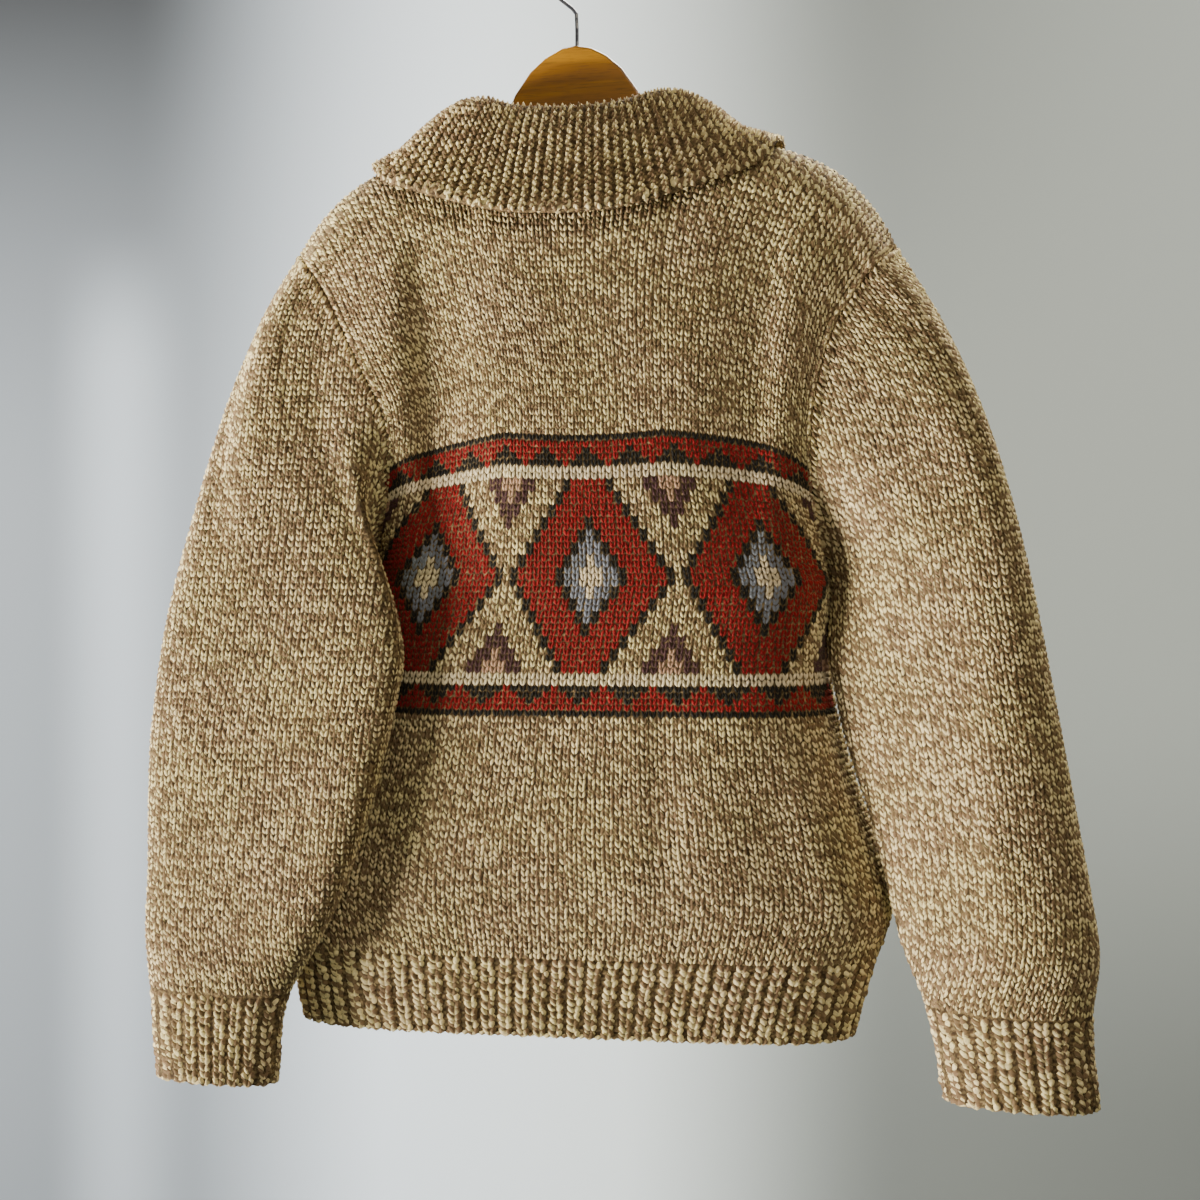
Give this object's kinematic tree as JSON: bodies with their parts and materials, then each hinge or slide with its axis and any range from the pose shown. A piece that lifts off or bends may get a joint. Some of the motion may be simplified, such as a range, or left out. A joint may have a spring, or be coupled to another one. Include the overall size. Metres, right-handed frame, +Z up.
{
  "type": "cowichan cardigan on a hanger",
  "caption": "Bulky marled wool cardigan with a turned-down shawl collar, ribbed hem and cuffs, a charted back panel and a buttoned front, hanging on a wooden hanger.",
  "frame": {"origin": "inside of the hook's bend, where it rests on a rail", "axes": "+Z up; the wearer's back faces -Y and the buttoned front faces +Y; +X towards the wearer's right arm"},
  "size_m": [0.6992, 0.1763, 0.866],
  "materials": {
    "marled_wool": "bulky two-ply marl of pale beige and brown, stocking stitch and rib",
    "garter_wool": "the same yarn in garter stitch, with deep ridges",
    "varnished_wood": "orange-brown varnish",
    "dark_steel": "dark bent wire",
    "button_horn": "dark brown, semi-gloss, horn-like"
  },
  "bodies": {
    "root": {"back": "marled_wool", "front_left": "marled_wool", "front_right": "marled_wool", "sleeve_left": "marled_wool", "sleeve_right": "marled_wool", "band_left": "marled_wool", "band_right": "marled_wool", "collar": "garter_wool", "button_1": "button_horn", "button_2": "button_horn", "button_3": "button_horn", "button_4": "button_horn", "button_5": "button_horn", "button_6": "button_horn", "hanger_body": "varnished_wood", "hook": "dark_steel"}
  },
  "joints": []
}
